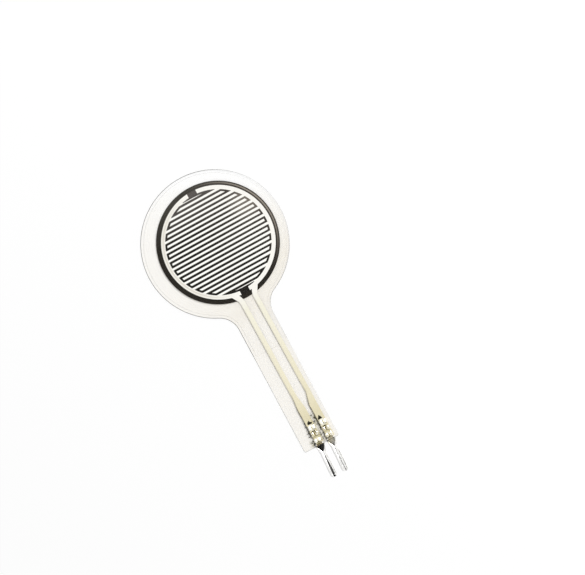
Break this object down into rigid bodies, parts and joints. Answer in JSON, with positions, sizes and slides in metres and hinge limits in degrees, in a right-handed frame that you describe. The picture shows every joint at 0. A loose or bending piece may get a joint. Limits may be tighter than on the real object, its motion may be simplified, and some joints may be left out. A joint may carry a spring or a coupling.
{
  "type": "force sensing resistor",
  "caption": "Round flat film sensor with interlocking silver combs over a black carbon disc, a clear tail and crimped solder tabs.",
  "frame": {"origin": "centre of the round outline, on the rear face of the release liner", "axes": "+Z out of the sensing face, -Y along the tail towards the solder tabs, +X to the right seen from the sensing side"},
  "size_m": [0.03, 0.0676, 0.0008],
  "materials": {
    "release_liner": "clear siliconed liner, satin",
    "rear_adhesive": "clear acrylic mounting adhesive",
    "carrier_film": "clear polyester film, smooth",
    "carbon_ink": "screen-printed carbon ink, satin black",
    "spacer_adhesive": "clear die-cut spacer adhesive",
    "electrode_film": "clear polyester film, smooth",
    "silver_ink": "screen-printed silver ink, matt",
    "tinned_metal": "bright tin plating on stamped copper alloy strip"
  },
  "bodies": {
    "root": {"release_liner": "release_liner", "rear_adhesive": "rear_adhesive", "carrier_film": "carrier_film", "carbon_ink_disc": "carbon_ink", "spacer_adhesive": "spacer_adhesive", "electrode_film": "electrode_film", "silver_electrode_left": "silver_ink", "silver_electrode_right": "silver_ink", "contact_left": "tinned_metal", "contact_right": "tinned_metal"}
  },
  "joints": []
}
